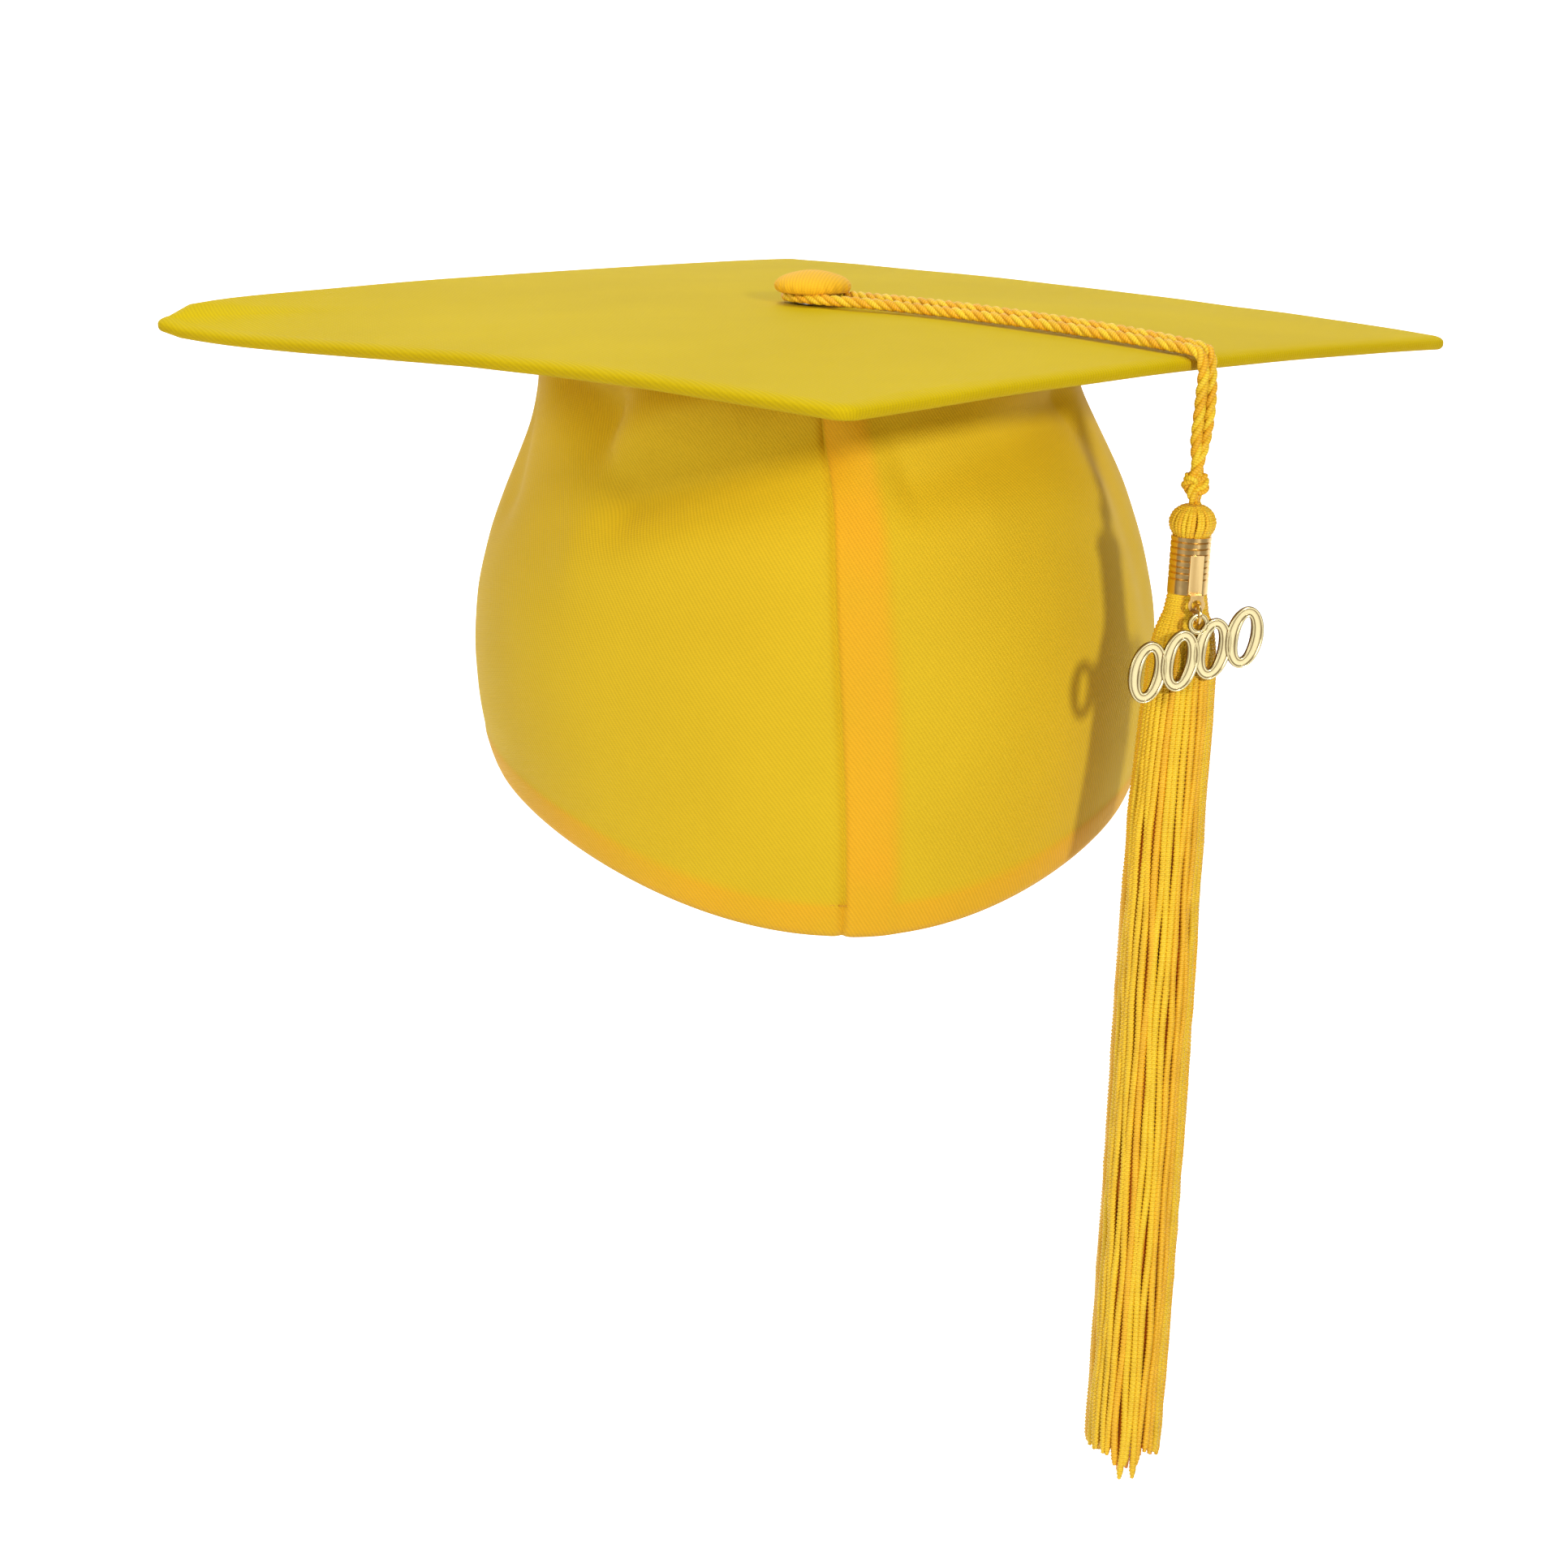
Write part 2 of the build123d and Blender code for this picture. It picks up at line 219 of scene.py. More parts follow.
def tube(path, radius, sides=8, tone=0.5, lobes=0, pitch=3 * MM, depth=0.0):
    """A round closed tube along a path, or one with twisting lobes like a laid rope."""
    first, second = frames_along(path)
    along = lengths_along(path)
    angles = np.arange(sides) * 2 * pi / sides
    swell = 1 + depth * np.cos(lobes * (angles[None, :] - 2 * pi * along[:, None] / pitch))
    radii = np.broadcast_to(radius, len(path))[:, None] * (swell if lobes else 1)
    ring = (first[:, None, :] * np.cos(angles)[None, :, None]
            + second[:, None, :] * np.sin(angles)[None, :, None])
    points = path[:, None, :] + ring * np.broadcast_to(radii, (len(path), sides))[:, :, None]
    return Grid(points, np.linspace(0, 1, sides + 1), along, closed=True, capped=True, tone=tone)


def yarn(path, radius, pitch=9 * MM):
    """Twisted plies along a path, together as thick as radius."""
    first, second = frames_along(path)
    along = lengths_along(path)
    ply_r = radius * PLY_SHARE
    offset = radius - ply_r
    strands = []
    for ply, tone in enumerate(PLY_TONES):
        turn = 2 * pi * (along / pitch + ply / len(PLY_TONES))
        line = path + offset * (first * np.cos(turn)[:, None] + second * np.sin(turn)[:, None])
        strands.append(tube(line, ply_r, tone=tone))
    return strands


def resample(path, spacing):
    """Points evenly spaced along a path."""
    along = lengths_along(path)
    count = max(3, int(along[-1] / spacing) + 1)
    wanted = np.linspace(0, along[-1], count)
    return np.stack([np.interp(wanted, along, path[:, i]) for i in range(3)], axis=1)


def spline_points(name, route):
    """Points along the NURBS spline that has the route as its control points."""
    data = bpy.data.curves.new(name, "CURVE")
    data.dimensions = "3D"
    spline = data.splines.new("NURBS")
    spline.points.add(len(route) - 1)
    for point, place in zip(spline.points, route):
        point.co = (*place, 1)
    spline.order_u = 3
    spline.use_endpoint_u = True
    spline.resolution_u = 16
    holder = bpy.data.objects.new(name, data)
    bpy.context.scene.collection.objects.link(holder)
    line = bpy.data.meshes.new_from_object(holder)
    points = np.array([v.co for v in line.vertices])
    bpy.data.objects.remove(holder)
    return points


def smoothed(values, width):
    """Values averaged with their neighbours, all but the few at each end."""
    kernel = np.hanning(width) / np.hanning(width).sum()
    edge = width // 2
    middle = np.convolve(values, kernel, "valid")
    return np.concatenate([values[:edge], middle, values[-edge:]])


def smooth_step(x):
    """0 below 0, 1 above 1, and a soft rise between."""
    x = np.clip(x, 0, 1)
    return x * x * (3 - 2 * x)


def falloff(distance, reach):
    """1 at no distance, fading over a reach."""
    return np.exp(-distance / reach)


def hump(distance, reach, power=2):
    """1 at no distance, fading like a bell over a reach."""
    return np.exp(-(distance / reach) ** power)


# ---- materials ----
def linear(r, g, b):
    """A display colour from 0 to 255 as a linear one."""
    return tuple(((c / 255 + 0.055) / 1.055) ** 2.4 for c in (r, g, b)) + (1.0,)


class Shader:
    """A material's node tree, with short calls for the nodes that the materials share."""

    def __init__(self, name):
        self.material = bpy.data.materials.new(name)
        self.material.use_nodes = True
        self.tree = self.material.node_tree
        self.bsdf = self.tree.nodes["Principled BSDF"]

    def node(self, kind, inputs=(), **settings):
        made = self.tree.nodes.new(kind)
        for key, value in settings.items():
            setattr(made, key, value)
        for socket, value in dict(inputs).items():
            if isinstance(value, bpy.types.NodeSocket):
                self.tree.links.new(value, made.inputs[socket])
            else:
                made.inputs[socket].default_value = value
        return made

    def math(self, operation, a, b=0.0):
        return self.node("ShaderNodeMath", {0: a, 1: b}, operation=operation).outputs[0]

    def uv(self, turn=0.0, scale=1000.0):
        """The cloth's own flat coordinates, in millimetres, turned by some degrees."""
        source = self.node("ShaderNodeUVMap", uv_map="cloth").outputs[0]
        mapping = self.node("ShaderNodeMapping", {"Vector": source,
                                                  "Rotation": (0, 0, radians(turn)),
                                                  "Scale": (scale, scale, scale)})
        return mapping.outputs[0]

    def place(self):
        """The object's own coordinates, in metres."""
        return self.node("ShaderNodeTexCoord").outputs["Object"]

    def tone(self):
        """The tone that a piece's grids carry, from 0 to 1."""
        return self.node("ShaderNodeAttribute", attribute_name="tone").outputs["Fac"]

    def bands(self, vector, pitch, distortion=0.0):
        """Soft stripes across the vector's X, one every pitch."""
        made = self.node("ShaderNodeTexWave", {"Vector": vector, "Scale": 2 * pi / 20 / pitch,
                                               "Distortion": distortion, "Detail": 1.0})
        return made.outputs["Fac"]

    def noise(self, vector, scale, detail=2.0):
        return self.node("ShaderNodeTexNoise", {"Vector": vector, "Scale": scale,
                                                "Detail": detail}).outputs["Fac"]

    def ramp(self, factor, low, high, dark, light):
        """A factor spread between two colours."""
        made = self.node("ShaderNodeValToRGB", {"Fac": factor})
        made.color_ramp.elements[0].position = low
        made.color_ramp.elements[1].position = high
        made.color_ramp.elements[0].color = dark
        made.color_ramp.elements[1].color = light
        return made.outputs[0]

    def mix(self, factor, a, b, blend="MIX"):
        made = self.tree.nodes.new("ShaderNodeMix")
        made.data_type = "RGBA"
        made.blend_type = blend
        for socket, value in ((0, factor), (6, a), (7, b)):
            if isinstance(value, bpy.types.NodeSocket):
                self.tree.links.new(value, made.inputs[socket])
            else:
                made.inputs[socket].default_value = value
        return made.outputs[2]

    def bump(self, height, distance, strength=1.0, normal=None):
        inputs = {"Height": height, "Distance": distance, "Strength": strength}
        if normal is not None:
            inputs["Normal"] = normal
        return self.node("ShaderNodeBump", inputs).outputs[0]

    def finish(self, **inputs):
        for socket, value in inputs.items():
            target = self.bsdf.inputs[socket.replace("_", " ")]
            if isinstance(value, bpy.types.NodeSocket):
                self.tree.links.new(value, target)
            else:
                target.default_value = value
        return self.material


def twill(name, colour, accent=None, turn=45.0, pitch=0.9, sheen=0.05, gloss=0.2):
    """Fine diagonal twill with an accent by tone, mixed in unevenly: dye on some pieces, painted
    shade on others.
    """
    s = Shader(name)
    ribs = s.bands(s.uv(turn), pitch, 0.6)
    threads = s.bands(s.uv(turn + 68), pitch * 0.55, 0.3)
    weave = s.math("ADD", s.math("MULTIPLY", ribs, 0.7), s.math("MULTIPLY", threads, 0.3))
    tone = s.tone()
    # the accent's share: tone made patchy by noise; painted shade wherever the tone marks shade
    uneven = s.math("MULTIPLY", tone, s.math("ADD", s.noise(s.place(), 45.0, 3.0), 0.45))
    dye_and_painted_shade = s.mix(uneven, colour, accent or colour)
    shade = s.ramp(weave, 0.1, 0.9, (0.87, 0.85, 0.78, 1), (1, 1, 1, 1))
    patches = s.ramp(s.noise(s.place(), 22.0, 4.0), 0.3, 0.7, (0.94, 0.93, 0.86, 1), (1, 1, 1, 1))
    cloth = s.mix(1.0, s.mix(1.0, dye_and_painted_shade, shade, "MULTIPLY"), patches, "MULTIPLY")
    fibres = s.noise(s.uv(), 0.9, 3.0)
    normal = s.bump(weave, 0.00014, 0.6, s.bump(fibres, 0.0003, 0.12))
    return s.finish(Base_Color=cloth, Roughness=0.7, Specular_IOR_Level=gloss,
                    Sheen_Weight=sheen, Sheen_Roughness=0.5, Normal=normal)


def twisted(name, light, dark, pitch=1.1, slant=55.0):
    """Shiny twisted thread: fine slanting fibres, tone from strand to strand."""
    s = Shader(name)
    source = s.node("ShaderNodeUVMap", uv_map="cloth").outputs[0]
    flat = s.node("ShaderNodeMapping", {"Vector": source,
                                        "Scale": (pitch * 2, 1000, 1)}).outputs[0]
    turned = s.node("ShaderNodeMapping", {"Vector": flat,
                                          "Rotation": (0, 0, radians(slant))}).outputs[0]
    fibres = s.bands(turned, pitch, 0.4)
    tone = s.tone()
    dye_and_painted_shade = s.mix(tone, dark, light)
    shade = s.ramp(fibres, 0.0, 0.8, (0.8, 0.72, 0.6, 1), (1, 1, 1, 1))
    uneven = s.ramp(s.noise(s.place(), 160.0, 2.0), 0.3, 0.7, (0.9, 0.86, 0.8, 1), (1, 1, 1, 1))
    colour = s.mix(1.0, s.mix(1.0, dye_and_painted_shade, shade, "MULTIPLY"), uneven, "MULTIPLY")
    return s.finish(Base_Color=colour, Roughness=0.42, Specular_IOR_Level=0.3,
                    Sheen_Weight=0.05, Normal=s.bump(fibres, 0.00015, 0.6))


def gilt(name, light, dark, roughness, toned=False):
    """Gilt metal: long darker streaks that are painted reflections, or where it is toned, lacquered
    with painted shade by tone in its recesses.
    """
    s = Shader(name)
    scuffs = s.noise(s.place(), 900.0, 4.0)
    stretched = s.node("ShaderNodeMapping", {"Vector": s.place(), "Scale": (1, 1, 0.05)}).outputs[0]
    # painted reflections: long darker streaks across the metal
    painted_reflection_streaks = s.ramp(s.noise(stretched, 300.0, 2.0), 0.34, 0.52, dark, light)
    tone = s.tone()
    metal = s.mix(tone, dark, light) if toned else painted_reflection_streaks
    rough = s.node("ShaderNodeMapRange", {"Value": scuffs, "To Min": roughness * 0.7,
                                          "To Max": roughness * 1.5}).outputs[0]
    return s.finish(Base_Color=metal, Metallic=0.65 if toned else 1.0, Roughness=rough,
                    Normal=s.bump(scuffs, 0.00004, 0.15))


def steel(name):
    s = Shader(name)
    grain = s.noise(s.place(), 700.0, 3.0)
    shade = s.ramp(grain, 0.3, 0.7, (0.42, 0.42, 0.41, 1), (0.6, 0.6, 0.58, 1))
    return s.finish(Base_Color=shade, Metallic=1.0, Roughness=0.38,
                    Normal=s.bump(grain, 0.00005, 0.3))


def chipboard(name):
    s = Shader(name)
    pulp = s.noise(s.place(), 600.0, 5.0)
    shade = s.ramp(pulp, 0.3, 0.7, linear(140, 120, 92), linear(176, 156, 122))
    return s.finish(Base_Color=shade, Roughness=0.9, Normal=s.bump(pulp, 0.0002, 0.4))


BOARD_YELLOW = linear(216, 190, 6)
# painted shade: the darker yellow of the board's rolled edge
EDGE_SHADE_YELLOW = linear(198, 168, 4)
CROWN_YELLOW = linear(219, 184, 24)
# orange of the tapes and of the crown's accent: doubled cloth at seam and hem, painted shade under
# the board
ORANGE_YELLOW = linear(236, 170, 26)
# painted shade: the dark of the charm's grooves and side walls
CHARM_SHADE_BRASS = linear(112, 78, 30)
board_cloth = twill("board_cloth", BOARD_YELLOW, EDGE_SHADE_YELLOW, turn=20, sheen=0.0, gloss=0.08)
crown_cloth = twill("crown_cloth", CROWN_YELLOW, ORANGE_YELLOW, turn=35)
button_cloth = twill("button_cloth", linear(246, 191, 34), turn=15)
tape_cloth = twill("tape_cloth", ORANGE_YELLOW, turn=0, pitch=0.6)
lining_cloth = twill("lining_cloth", linear(222, 182, 30), turn=60, pitch=0.7)
elastic_knit = twill("elastic_knit", linear(236, 232, 220), turn=90, pitch=1.2)
label_satin = twill("label_satin", linear(240, 240, 236), turn=0, pitch=0.4, sheen=0.4)
sewing_thread = twisted("sewing_thread", linear(236, 184, 40), linear(220, 150, 24), 0.5)
cord_yarn = twisted("cord_yarn", linear(254, 228, 54), linear(242, 172, 20), 0.5)
tassel_yarn = twisted("tassel_yarn", linear(252, 214, 46), linear(250, 122, 6), 0.45)
gilt_charm = gilt("gilt_charm", linear(255, 242, 188), CHARM_SHADE_BRASS, 0.2, True)
# the barrel's darker streaks are painted reflections
gilt_barrel = gilt("gilt_barrel", linear(240, 204, 138), linear(112, 84, 42), 0.2)
# painted highlight: a brighter copy of the barrel's gilt, for the strap and the jump ring
gilt_strap_highlight = gilt("gilt_strap_highlight", linear(246, 214, 148), linear(196, 158, 96), 0.2)
bare_steel = steel("bare_steel")
grey_board = chipboard("grey_board")


# ---- the cord ----
# Along the cord's direction, to its left, above the board's top, in millimetres. It leaves the
# knot, climbs to the edge, lies on the board, goes round the button's neck and comes back.
ROUTE = [
    (122.3, -1.4, -31.2),
    (123.5, 0.7, -24.0),
    (124.2, 1.2, -17.0),
    (124.4, 1.3, -11.0),
    (123.8, 1.6, -6.0),
    (123.3, 1.7, -2.0),
    (121.2, 1.5, -1.0),
    (117.0, 1.4, -0.5),
    (101.0, 2.8, 0.7),
    (76.0, 3.9, 1.8),
    (50.0, 3.9, 2.5),
    (27.0, 3.6, 2.7),
    (13.0, 4.6, 2.3),
    (3.0, 6.3, 2.0),
    (-5.2, 5.4, 2.0),
    (-7.6, 0.0, 2.0),
    (-5.2, -5.4, 2.0),
    (3.0, -6.3, 2.0),
    (13.0, -4.5, 2.0),
    (26.0, -0.7, 1.8),
    (50.0, 0.9, 1.4),
    (76.0, 0.8, 0.8),
    (101.0, -0.2, -0.3),
    (118.0, -1.6, -1.2),
    (121.4, -1.6, -1.5),
    (123.0, -1.7, -2.4),
    (123.8, -1.3, -6.0),
    (123.4, -1.4, -11.0),
    (123.0, -1.5, -17.0),
    (122.5, -1.7, -24.0),
    (122.2, 0.9, -31.2),
]
DROP_TOP = -2 * MM
DROP_END = -31 * MM
out_along = np.array([cos(CORD_AZIMUTH), sin(CORD_AZIMUTH), 0])
out_aside = np.array([-sin(CORD_AZIMUTH), cos(CORD_AZIMUTH), 0])


def cord_place(point):
    """A point of the route in the cap's frame, lifted with the board wherever it lies on it."""
    along, aside, up = (c * MM for c in point)
    place = board_centre + out_along * along + out_aside * aside + np.array([0, 0, up])
    place[2] += board_lift(place[1]) * np.clip((up - DROP_END) / (DROP_TOP - DROP_END), 0, 1)
    return place


def make_cord():
    """The doubled cord in one piece, from the knot to the button and back."""
    line = spline_points("cord_route", [cord_place(p) for p in ROUTE])
    line = resample(line, 0.7 * MM)
    cord = piece("tassel_cord", yarn(line, CORD_D / 2), cord_yarn)
    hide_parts("tassel_cord_loop", "tassel_cord_drop")
    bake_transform(cord)
    return cord, line


# ---- the square board ----
# painted shade: the board's edge darkens over this drop below its top
EDGE_SHADE_DROP = 2.6 * MM
TURNED_UNDER = 4.6 * MM
UNDER_COVER_SHORTER = 7 * MM
CORE_INSET = 1.2 * MM
CORE_SINK = 0.9 * MM


def board_outline(side, corner_r, per_corner=10, per_side=36):
    """Points round a rounded square, one corner to the front, with their outward normals."""
    half = side / 2 - corner_r
    points, normals = [], []
    for quarter in range(4):
        middle = Matrix.Rotation(quarter * pi / 2, 2) @ Vector((half, half))
        for step in range(per_corner):
            angle = quarter * pi / 2 + (step / (per_corner - 1)) * pi / 2
            normal = Vector((cos(angle), sin(angle)))
            points.append(middle + normal * corner_r)
            normals.append(normal)
        start = points[-1]
        last = Matrix.Rotation((quarter + 1) * pi / 2, 2) @ Vector((half + corner_r, half))
        for step in range(1, per_side):
            points.append(start.lerp(last, step / per_side))
            normals.append(normals[-1])
    turn = Matrix.Rotation(pi / 4, 2)
    points = np.array([turn @ p for p in points])
    normals = np.array([turn @ n for n in normals])
    return points, normals


def dome_z(points):
    """Height of the board's top: bowed down, less to the front and back, its left corner warped."""
    x, y = points[..., 0], points[..., 1]
    bow = dome_centre + np.sqrt(DOME_R ** 2 - x ** 2 - y ** 2)
    warp = LEFT_WARP * np.minimum(x / HALF_DIAGONAL, 0) ** 4 * y / HALF_DIAGONAL
    near_tip = hump(x + HALF_DIAGONAL, 30 * MM)
    swell = LEFT_SWELL * near_tip * smooth_step(y / (8 * MM) + 0.35)
    share = np.clip(x / HALF_DIAGONAL, 0, 1)
    sag = RIGHT_SAG * 4 * share * (1 - share) * smooth_step(y / (50 * MM))
    return bow + board_lift(y) + warp + swell - sag


def board_lift(y):
    """How much less the board bows down towards its front and back corners."""
    return np.where(y < 0, FRONT_LIFT, BACK_LIFT) * (y / HALF_DIAGONAL) ** 2


def soft_ripple(points, scale, height, seed):
    """Gentle unevenness over a flat place."""
    rough = np.zeros(points.shape[:-1])
    directions = np.random.default_rng(seed).uniform(-1, 1, (7, 3))
    for wave, (a, b, c) in enumerate(directions):
        rough += np.sin((points[..., 0] * a + points[..., 1] * b) / scale * (2 + wave) + 9 * c)
    return rough * height / 4


def board_sheet(side, profile, corner_r, seed, floor=None):
    """A sheet over the square: rings from the middle out, a profile of (outset, height), a floor."""
    points, normals = board_outline(side, corner_r)
    weave = np.array(Matrix.Rotation(-pi / 4, 2))
    inset, top = profile[0]
    scales = np.concatenate([np.linspace(0.012, 0.9, 30), np.linspace(0.92, 1.0, 9)])
    rings, flats, tones = [], [], []
    for scale in scales:
        flat = (points + normals * inset) * scale
        z = dome_z(flat) + top + soft_ripple(flat, 0.05, 0.12 * MM, seed)
        rings.append(np.column_stack([flat, z]))
        flats.append(flat @ weave.T)
        tones.append(0.0)
    edge_z = dome_z(points + normals * inset) + soft_ripple(points, 0.03, 0.1 * MM, seed + 1)
    run = inset
    for before, (outset, height) in zip(profile, profile[1:]):
        run += hypot(outset - before[0], height - before[1])
        rings.append(np.column_stack([points + normals * outset, edge_z + height]))
        flats.append((points + normals * run) @ weave.T)
        # painted shade: tone rises down the rolled edge, darkening it
        tones.append(smooth_step((top - height) / EDGE_SHADE_DROP))
    if floor is not None:
        for scale in scales[::-1]:
            flat = (points + normals * inset) * scale
            rings.append(np.column_stack([flat, dome_z(flat) + floor]))
            flats.append(flat @ weave.T)
            tones.append(0.0)
    grid, cloth = np.array(rings), wrap(np.array(flats))
    grid[..., 0] -= CORNER_SKEW * (grid[..., 0] / HALF_DIAGONAL) ** 2
    tones = np.array(tones)[:, None]
    return Grid(grid, cloth[..., 0], cloth[..., 1], closed=True, tone=tones)


def rounded_edge(thick, roll, over, under, shrink=0.0):
    """(outset, height) points round a board's edge: over the top, down and a little way under."""
    profile = [(-roll, -shrink)]
    for step in range(1, 9):
        angle = step / 8 * pi / 2
        profile.append((-roll + (roll - shrink) * sin(angle), -shrink - over * (1 - cos(angle))))
    for step in range(6):
        angle = step / 5 * pi / 2
        profile.append((-under + (under - shrink) * cos(angle),
                        -thick + shrink + (under - shrink) * (1 - sin(angle))))
    return profile


def make_board_cover():
    """Cloth over the top and round the edge, turned a little way under."""
    half_cloth = CLOTH_THICK / 2
    edge = rounded_edge(BOARD_THICK, roll=4.4 * MM, over=1.5 * MM, under=1.3 * MM,
                        shrink=half_cloth)
    edge.append((-TURNED_UNDER, -BOARD_THICK + half_cloth))
    sheet = board_sheet(BOARD_SIDE, edge, BOARD_EDGE_R, 3)
    cover = thicken(piece("board_cover", [sheet], board_cloth), CLOTH_THICK)
    dress(cover, "cap", "cap_cloth", "board_cover_top")


def make_under_cover():
    """Cloth under the board, its edge turned in over the top cover's."""
    edge = [(-0.6 * MM, -BOARD_THICK), (0, -BOARD_THICK - 0.1 * MM),
            (0.1 * MM, -BOARD_THICK + 0.15 * MM)]
    sheet = board_sheet(BOARD_SIDE - UNDER_COVER_SHORTER, edge, BOARD_EDGE_R, 8)
    under = thicken(piece("board_under_cover", [sheet], board_cloth), CLOTH_THICK)
    dress(under, "cap", "cap_cloth", "board_cover_bottom")


def make_core():
    """The chipboard slab, hidden by both covers."""
    edge = rounded_edge(BOARD_THICK - 2 * MM, roll=3.4 * MM, over=1.1 * MM, under=0.5 * MM)
    edge = [(outset - CORE_INSET, height - CORE_SINK) for outset, height in edge]
    sheet = board_sheet(BOARD_SIDE, edge, BOARD_EDGE_R, 5, floor=edge[-1][1])
    core = piece("board_core_pulp", [sheet], grey_board)
    dress(core, "cap", "chipboard", "board_core")


# ---- the soft crown ----
# Soft folds: from and to (degrees round from the front, millimetres below the board's top),
# half width and depth in millimetres. A depth below 0 is a ridge.
FOLDS = [
    ((-64, 12), (-48, 22), 10, 7.0),
    ((-42, 26), (-20, 13), 7, -3.6),
    ((-38, 42), (0, 26), 7, 4.4),
    ((-46, 56), (-6, 45), 10, -1.6),
    ((14, 22), (30, 16), 7, 1.8),
    ((16, 34), (64, 20), 7, 3.8),
    ((30, 42), (60, 42), 9, -1.4),
    ((66, 26), (72, 70), 8, 1.2),
    ((-86, 30), (-78, 48), 8, 2.0),
    ((112, 20), (150, 34), 11, 3.4),
    ((160, 40), (205, 30), 10, 2.0),
    ((228, 18), (256, 34), 11, 3.0),
    ((140, 90), (180, 70), 14, 1.5),
]
CROWN_TILT_LEFT = 0.012
CROWN_TILT_RIGHT = 0.034
CROWN_SHIFT = 2.3 * MM     # the soft crown hangs a little towards the tassel's side
CROWN_NARROWER = 1.0 * MM
CROWN_SMOOTHING = 25
RIM_LOWER = 1.5 * MM
SEAM_DRIFT = 0.052
HEM_CURL = 2.2 * MM
GATHER_FROM = 125.0
GATHER_COUNT = 78
GATHER_DEPTH = 1.1 * MM
GATHER_DRAW = 3.0 * MM
CROWN_TOP = BOARD_THICK + 1.4 * MM
MEAN_R = 90 * MM
SEAM_DIP = 1.3 * MM
ALLOWANCE_RAISE = 0.45 * MM     # the seam's allowance lies under the right panel only
HEM_RAISE = 0.3 * MM
SEAM_TONE = 0.75
HEM_TONE = 0.6
# painted shade: how strongly the crown is tinted orange just under the board
UNDER_BOARD_SHADE_TONE = 0.4
# The hem folded up inside the rim: height above the rim and turn inward, in millimetres.
HEM_FOLD = [(0.0, 0.5), (0.35, 0.95), (1.2, 1.15), (5, 1.0), (9, 0.9)]
TAPE_THICK = 0.35 * MM
STITCH_COUNT = 172
STITCH_HALF = 1.3 * MM
PUCKER_COUNT = 61
DEGREE_MM = 1.5     # about how many millimetres of the crown's girth a degree takes


def crown_half(depth):
    """Half the crown's width at a depth below the board's top: a smooth curve."""
    fine = np.linspace(CROWN_DEPTHS[0], CROWN_DEPTHS[-1], 200)
    rough = np.interp(fine, CROWN_DEPTHS, CROWN_HALVES) - CROWN_NARROWER
    edge = CROWN_SMOOTHING // 2
    soft = smoothed(np.pad(rough, edge, mode="edge"), CROWN_SMOOTHING)
    return np.interp(depth, fine, soft[edge:-edge])


def rim_depth(theta):
    """The rim's depth below the board's top at an angle round from the front."""
    wall = CROWN_HALVES.max()
    drop = np.where(np.cos(theta) > 0, RIM_FRONT_DROP, RIM_BACK_DROP)
    radius = (wall ** 2 + drop ** 2) / (2 * drop)
    return board_top + RIM_LOWER + radius - np.sqrt(radius ** 2 - (wall * np.cos(theta)) ** 2)


def fold_depth(theta, depth):
    """How far inward the folds press the cloth."""
    total = np.zeros(np.broadcast(theta, depth).shape)
    girth, down = np.degrees(theta) % 360 * DEGREE_MM, depth / MM
    for (from_angle, from_depth), (to_angle, to_depth), width, deep in FOLDS:
        run_girth, run_down = (to_angle - from_angle) * DEGREE_MM, to_depth - from_depth
        for turn in (0, 360, -360):
            off_girth = girth - (from_angle + turn) * DEGREE_MM
            off_down = down - from_depth
            along = (off_girth * run_girth + off_down * run_down) / (run_girth ** 2 + run_down ** 2)
            along = np.clip(along, 0, 1)
            off = np.hypot(off_girth - along * run_girth, off_down - along * run_down)
            total += deep * MM * hump(off, width)
    return total


def crown_place(theta, depth, inset=0.0):
    """Points of the crown: theta round from the front to +X, and depth below the board's top."""
    rim = rim_depth(theta)
    share = (depth - CROWN_TOP) / (rim - CROWN_TOP)
    from_rim = np.maximum(rim - depth, 0)
    half = crown_half(depth)
    curl = HEM_CURL * falloff(from_rim, 7 * MM)
    pressed = fold_depth(theta, depth) * smooth_step((depth - 5 * MM) / (14 * MM))
    from_back = np.abs(np.degrees(theta) % 360 - 180)
    back = smooth_step((180 - GATHER_FROM - from_back) / 25 + 0.5)
    waves = np.sin(theta * GATHER_COUNT + 1.4 * np.sin(theta * 9))
    gathers = GATHER_DEPTH * back * waves * falloff(from_rim, 16 * MM)
    drawn = GATHER_DRAW * back * falloff(from_rim, 22 * MM)
    inward = inset + curl + pressed + drawn - gathers
    twist = SEAM_DRIFT * smooth_step((depth - 40 * MM) / (105 * MM))
    turned = theta + twist * np.maximum(np.cos(theta), 0) ** 2
    x = (half - inward) * np.sin(turned)
    y = -(half + CROWN_LONGER - inward) * np.cos(turned)
    tilt = np.where(x < 0, CROWN_TILT_LEFT, CROWN_TILT_RIGHT)
    z = board_top - depth - tilt * x * share ** 1.5
    x = x + CROWN_SHIFT * (1.7 * smooth_step((depth - 5 * MM) / (42 * MM)) - 0.7)
    return np.stack([x, y, z], axis=-1)


def crown_strip(theta, raises, inset):
    """A strip that follows the rim, between heights raised above it."""
    rim = rim_depth(theta)
    rows = [crown_place(theta, rim - raised, inset) for raised in raises]
    return Grid(np.array(rows), theta * MEAN_R, raises, tone=0.0)


def seam_dip(arc):
    """How far a panel's edge turns in towards the seam, by its distance from it."""
    return SEAM_DIP * hump(arc, SEAM_DIP, 1.5)


